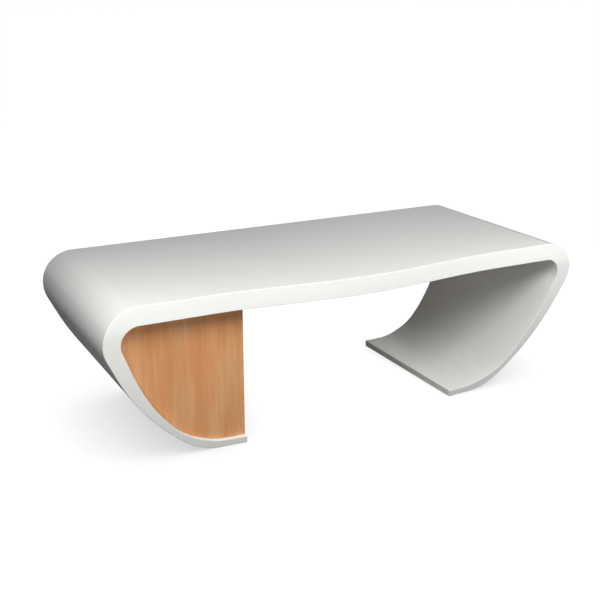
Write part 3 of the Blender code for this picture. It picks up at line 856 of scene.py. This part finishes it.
# %% Outline of the space in a curl
def inner_chain(clearance):
    """Points (x, z) of the curl's inner face, moved into the space by the clearance."""
    points = []
    for place_x, place_z, turn, distance in path:
        depth = wall_at(distance, path_ends) + clearance
        points.append((place_x - depth * math.sin(turn), place_z - depth * math.cos(turn)))
    return points


def clip(outline, axis, limit, keep_above):
    """The part of an outline on one side of a level or upright line."""
    kept = []
    for index, point in enumerate(outline):
        after = outline[(index + 1) % len(outline)]
        inside = (point[axis] >= limit) == keep_above
        if inside:
            kept.append(point)
        if inside != ((after[axis] >= limit) == keep_above):
            share = (limit - point[axis]) / (after[axis] - point[axis])
            crossing = [point[other] + share * (after[other] - point[other]) for other in (0, 1)]
            crossing[axis] = limit
            kept.append(tuple(crossing))
    return kept


def left_space(clearance, side_x, low_z=-math.inf, high_z=math.inf):
    """Outline of the space in the left curl, beyond side_x and between two heights."""
    chain = inner_chain(clearance)
    outline = clip([(tip_x, chain[0][1])] + chain, 0, side_x, keep_above=True)
    outline = clip(clip(outline, 1, low_z, keep_above=True), 1, high_z, keep_above=False)
    return [(-place_x, place_z) for place_x, place_z in outline]


print("space in the curl:", len(left_space(joint_gap, tip_x)), "points")

# %% [markdown]
# The lipping is a strip of solid wood that covers the raw edge of the fascia, and the side panel closes
# the drawers off from the knee space. Both are plain boards. Each takes its size and its depth from the
# CAD node that it stands for, so that nothing is measured twice.

# %% Fascia, lipping and side panel
fascia_rounding = 0.0005
board_rounding = 0.0006


def make_board(name, node, radius, material, outline=None):
    """A board as thick as its CAD node along Y, cut to an outline or else to the node's own box."""
    low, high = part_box(node)
    outline = outline or rectangle((low.x, low.z), (high.x, high.z))
    mesh_work = bmesh.new()
    add_slab(mesh_work, outline, low.y, high.y, "Y")
    return soften(new_object(name, mesh_work, material), radius, steps=2)


fascia_outline = left_space(joint_gap, -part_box("visitor_fascia")[1].x)
fascia = make_board("fascia_panel", "visitor_fascia", fascia_rounding, veneer, fascia_outline)
hand_over(fascia, "desk", "cherry_veneer", "visitor_fascia")
edge_strip = make_board("fascia_lipping", "fascia_edge_lipping", board_rounding, lipping)
hand_over(edge_strip, "desk", "cherry_lipping", "fascia_edge_lipping")
side_panel = make_board("side_panel", "pedestal_inner_side_panel", board_rounding, veneer)
hand_over(side_panel, "desk", "cherry_veneer", "pedestal_inner_side_panel")

# %% [markdown]
# ## Boards and hardware inside
# The panels, cleats, bolts, glides and runners already have the right shape in the CAD, but every edge
# there is perfectly sharp. So each gets a copy with rounded edges. A CAD mesh is loose triangles: the
# copy's corners are welded first, then triangles in one plane are joined, and only then can Bevel see
# edges.

# %% Rounded copies of CAD nodes
cleat_rounding = 0.0010
bolt_rounding = 0.0004
glide_rounding = 0.0010


def rounded_copy(name, radius, material, body, slot):
    """A copy of a CAD node with rounded edges, which stands for that node."""
    node = nodes[name]
    mesh_work = bmesh.new()
    mesh_work.from_mesh(node.data)
    mesh_work.transform(node.matrix_world)
    bmesh.ops.remove_doubles(mesh_work, verts=mesh_work.verts, dist=weld_distance)
    bmesh.ops.dissolve_limit(
        mesh_work, angle_limit=math.radians(1.0), verts=mesh_work.verts, edges=mesh_work.edges,
    )
    item = soften(new_object(f"{name}_rounded", mesh_work, material), radius, steps=2)
    hand_over(item, body, slot, name)


cleats = ("bottom_panel_cleat", "lower_divider_cleat", "upper_divider_cleat")
for name in ("pedestal_bottom_panel", "pedestal_lower_divider", "pedestal_upper_divider"):
    rounded_copy(name, board_rounding, board, "desk", "white_board")
for name in cleats:
    rounded_copy(name, cleat_rounding, beech_along, "desk", "beech")
for side in ("left", "right"):
    for end in ("front", "back"):
        rounded_copy(f"{side}_{end}_joint_bolt", bolt_rounding, zinc, "desk", "zinc_steel")
        rounded_copy(f"{side}_{end}_glide", glide_rounding, nylon, "desk", "grey_nylon")

# %% [markdown]
# The ribs in the top and the dowels at its ends are out of sight when the desk is whole. They stay as
# the CAD has them, and only get their finish, through the material slots that they already have.

# %% Finish the CAD nodes that stay
def finish_node(name, material):
    for slot in nodes[name].material_slots:
        slot.material = material


for side in ("left", "right"):
    finish_node(f"worktop_{side}_rib", board)
    for end in ("front", "back"):
        finish_node(f"{side}_{end}_joint_dowel", beech_across)
print("finished in place: ribs and dowels")

# %% [markdown]
# ## Drawer fronts and boxes
# Each front is veneered like the fascia, and follows the curl at its outer end with a 3 mm reveal, the
# gap that lets a front close without rubbing. The same outline routine makes them, with the height of
# each front read from its CAD node.

# %% Drawer fronts
reveal_gap = 0.003
front_rounding = 0.0008
drawers = ("bottom_drawer", "middle_drawer", "top_drawer")
for drawer in drawers:
    low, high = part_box(f"{drawer}_front")
    outline = left_space(reveal_gap, -high.x, low.z, high.z)
    face = make_board(f"{drawer}_face", f"{drawer}_front", front_rounding, veneer, outline)
    hand_over(face, drawer, "cherry_veneer", f"{drawer}_front")

# %% [markdown]
# The boxes are beech boards joined with fingers at the corners, which is how a good drawer shows its
# make. Each board is a flat outline with notched ends, so that the fingers of one fill the notches of
# the other, with a hair of glue line between them. Booleans could cut the notches, but they would leave
# many thin faces to clean. The floors are copies of the CAD nodes, as above.

# %% Finger jointed drawer boxes
box_wall = 0.012
finger_height = 0.012
glue_line = 0.00012
box_rounding = 0.00025
floor_rounding = 0.0004


def finger_levels(low_z, high_z):
    """Heights between fingers, an odd number of them so that both ends of a corner match."""
    count = max(3, round((high_z - low_z) / finger_height) // 2 * 2 + 1)
    return [low_z + (high_z - low_z) * index / count for index in range(count + 1)]


def notched_outline(start, end, levels, keeps_even):
    """A board seen flat: full length at its own fingers, one wall shorter at the other board's."""
    def side_points(place, inward):
        points = []
        for index, (low, high) in enumerate(zip(levels, levels[1:])):
            own = (index % 2 == 0) == keeps_even
            gap = glue_line / 2 if own else -glue_line / 2
            edge = place if own else place + inward * (box_wall + glue_line)
            low_edge = low + (gap if index else 0.0)
            high_edge = high - (gap if index < len(levels) - 2 else 0.0)
            points += [(edge, low_edge), (edge, high_edge)]
        return points

    return side_points(start, 1.0) + list(reversed(side_points(end, -1.0)))


def make_drawer_box(drawer):
    low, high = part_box(f"{drawer}_box")
    levels = finger_levels(low.z, high.z)
    mesh_work = bmesh.new()
    along = notched_outline(low.y, high.y, levels, True)
    for inner, outer in ((low.x, low.x + box_wall), (high.x - box_wall, high.x)):
        add_slab(mesh_work, along, inner, outer, "X", 0)
    across = notched_outline(low.x, high.x, levels, False)
    for inner, outer in ((low.y, low.y + box_wall), (high.y - box_wall, high.y)):
        add_slab(mesh_work, across, inner, outer, "Y", 1)
    box = new_object(f"{drawer}_beech_box", mesh_work, beech_along, beech_across)
    return soften(box, box_rounding, steps=1, sharp=60.0)


for drawer in drawers:
    hand_over(make_drawer_box(drawer), drawer, "beech", f"{drawer}_box")
    rounded_copy(f"{drawer}_floor", floor_rounding, board, drawer, "white_board")

# %% [markdown]
# ## Runners, balls and screws
# A full extension runner is three folded channels that nest, with rows of small balls between them. A
# row is a line of points with a ball on each, so a Geometry Nodes tree makes it: it sets a line on every
# start it is given, and then a ball on every point of the lines.

# %% Tree for rows of balls
def make_ball_tree():
    inputs = [("Radius", "Float", 0.001), ("Pitch", "Float", 0.006), ("Count", "Int", 10)]
    tree, given = start_tree("row of balls", inputs)
    step = add_node(tree, "ShaderNodeCombineXYZ", Y=given["Pitch"]).outputs[0]
    line = add_node(tree, "GeometryNodeMeshLine", Count=given["Count"], Offset=step)
    ball = add_node(tree, "GeometryNodeMeshIcoSphere", Radius=given["Radius"], Subdivisions=2)
    kind = "GeometryNodeInstanceOnPoints"
    rows = add_node(tree, kind, Points=given["Geometry"], Instance=line.outputs[0])
    real = add_node(tree, "GeometryNodeRealizeInstances", Geometry=rows.outputs[0])
    balls = add_node(tree, kind, Points=real.outputs[0], Instance=ball.outputs[0])
    end_tree(tree, balls.outputs[0], given["Material"])
    return tree


ball_tree = make_ball_tree()
print("ball tree:", len(ball_tree.nodes), "nodes")

# %% [markdown]
# On a real runner two short cages hold the balls, one between the cabinet and the intermediate member
# and one between that and the drawer member. Only the balls are made here. Each row is placed so that it
# stays between its two channels however far the drawer is out. The places come from the boxes of the
# CAD nodes, and the members are rounded copies, as above.

# %% Members and balls of the runners
ball_radius = 0.00105
ball_pitch = 0.0065
row_length = 0.235
row_inset = 0.006
ball_way = 0.0022
runner_wall = 0.0012
runner_rounding = 0.00025


def points_object(name, places):
    mesh = bpy.data.meshes.new(name)
    mesh.from_pydata(places, [], [])
    return add_object(name, mesh)


def ball_row_starts(drawer):
    """First ball of each row: outer rows begin at the runner's far end, inner rows end at the user's."""
    starts = []
    for side in ("left", "right"):
        cabinet_low, cabinet_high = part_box(f"{drawer}_{side}_runner_cabinet_member")
        middle_low, middle_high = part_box(f"{drawer}_{side}_runner_intermediate_member")
        outer_way = runner_wall + ball_way / 2
        outer_z = (middle_low.z + cabinet_high.z) / 2
        inner_z = (middle_low.z + middle_high.z) / 2 + runner_wall
        for edge, inward in ((cabinet_low.x, 1), (cabinet_high.x, -1)):
            starts.append((edge + inward * outer_way, cabinet_low.y + row_inset, outer_z))
        for edge, inward in ((middle_low.x, 1), (middle_high.x, -1)):
            starts.append((edge + inward * outer_way, middle_high.y - row_length - row_inset, inner_z))
    return starts


ball_count = int(row_length / ball_pitch)
for drawer in drawers:
    for side in ("left", "right"):
        bodies = {"cabinet": "desk", "intermediate": f"{drawer}_runners", "drawer": drawer}
        for member, body in bodies.items():
            name = f"{drawer}_{side}_runner_{member}_member"
            rounded_copy(name, runner_rounding, zinc, body, "zinc_steel")
    balls = points_object(f"{drawer}_runner_balls", ball_row_starts(drawer))
    grow(balls, ball_tree, radius=ball_radius, pitch=ball_pitch, count=ball_count, material=ball_steel)
    shade(balls)
    hand_over(balls, f"{drawer}_runners", "zinc_steel")

# %% [markdown]
# Small screws hold the cleats and, from inside the boxes, the drawer fronts. One domed head with a
# cross recess is modelled, as rings of points joined from the rim over the dome and down into the
# recess. Points that lie on an arm of the cross stand far out, and the others close in. All measures
# are shares of the head's radius.

# %% One screw head
head_sides = 24
dome = [(1.0, 0.0), (1.0, 0.10), (0.93, 0.22), (0.80, 0.31)]
cross_arm = 0.62
cross_waist = 0.20
cross_level = 0.36
recess_level = 0.05
recess_draft = 0.55
arm_half_angle = math.radians(16)


def cross_share(angle):
    """How far out the cross reaches at an angle: three points lie on each of its four arms."""
    off_arm = abs((angle + math.pi / 4) % (math.pi / 2) - math.pi / 4)
    return cross_arm if off_arm <= arm_half_angle else cross_waist


def make_screw_head(radius):
    """A domed head with a cross recess, standing on z = 0 and facing +Z."""
    mesh_work = bmesh.new()
    angles = [2 * math.pi * index / head_sides for index in range(head_sides)]

    def add_ring(shares, level):
        return [
            mesh_work.verts.new((
                radius * share * math.cos(angle), radius * share * math.sin(angle), radius * level,
            ))
            for angle, share in zip(angles, shares)
        ]

    rings = [add_ring([share] * head_sides, level) for share, level in dome]
    cross = [cross_share(angle) for angle in angles]
    rings.append(add_ring(cross, cross_level))
    rings.append(add_ring([share * recess_draft for share in cross], recess_level))
    for ring, following in zip(rings, rings[1:]):
        for index in range(head_sides):
            after = (index + 1) % head_sides
            mesh_work.faces.new((ring[index], ring[after], following[after], following[index]))
    mesh_work.faces.new(rings[-1])
    mesh_work.faces.new(list(reversed(rings[0])))
    return new_object("screw head", mesh_work)


screw_radius = 0.0036
screw_head = make_screw_head(screw_radius)
print("screw head:", len(screw_head.data.polygons), "faces")

# %% [markdown]
# A tree sets the head on every point it is given. It turns each by a different amount, as a real driver
# leaves them. The seed is fixed, so the screws come out the same each time.

# %% Tree that sets the screws
def make_screw_tree():
    inputs = [("Screw", "Object", None), ("Facing", "Rotation", None), ("Seed", "Int", 0)]
    tree, given = start_tree("screws on points", inputs)
    head = add_node(tree, "GeometryNodeObjectInfo", Object=given["Screw"])
    placed = add_node(
        tree, "GeometryNodeInstanceOnPoints", Points=given["Geometry"],
        Instance=head.outputs["Geometry"], Rotation=given["Facing"],
    )
    chance = tree.nodes.new("FunctionNodeRandomValue")
    chance.data_type = "FLOAT"
    fill(tree, chance.inputs["Seed"], given["Seed"])
    turn = calculate(tree, "MULTIPLY", chance.outputs[1], math.pi)
    spin = add_node(tree, "ShaderNodeCombineXYZ", Z=turn).outputs[0]
    spun = add_node(tree, "GeometryNodeRotateInstances", Instances=placed.outputs[0], Rotation=spin)
    end_tree(tree, spun.outputs[0], given["Material"])
    return tree


screw_tree = make_screw_tree()
print("screw tree:", len(screw_tree.nodes), "nodes")

# %% [markdown]
# Each cleat has five screws, driven up from below into the board above it. Each front has three, driven
# from inside the box. Their places are spaced evenly between two margins, worked out from the CAD nodes.

# %% Set the screws
facing_down = (math.pi, 0.0, 0.0)
facing_into_box = (math.pi / 2, 0.0, 0.0)
cleat_screw_count = 5
cleat_screw_inset = 0.011
cleat_screw_margin = 0.06
face_screw_count = 3
face_screw_margin = 0.05


def set_screws(name, places, facing, seed, body):
    screws = points_object(name, places)
    grow(screws, screw_tree, screw=screw_head, facing=facing, seed=seed, material=zinc)
    shade(screws, sharp=40.0)
    hand_over(screws, body, "zinc_steel")


def spaced(low, high, count, margin):
    return [low + margin + (high - low - 2 * margin) * index / (count - 1) for index in range(count)]


cleat_places = []
for name in cleats:
    low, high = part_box(name)
    row = spaced(low.y, high.y, cleat_screw_count, cleat_screw_margin)
    cleat_places += [(high.x - cleat_screw_inset, place, low.z) for place in row]
set_screws("cleat_screws", cleat_places, facing_down, seed=3, body="desk")

for number, drawer in enumerate(drawers):
    low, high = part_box(f"{drawer}_box")
    height = (low.z + high.z) / 2
    row = spaced(low.x, high.x, face_screw_count, face_screw_margin)
    face_places = [(place, high.y - box_wall, height) for place in row]
    set_screws(f"{drawer}_face_screws", face_places, facing_into_box, seed=10 + number, body=drawer)
bpy.data.objects.remove(screw_head)
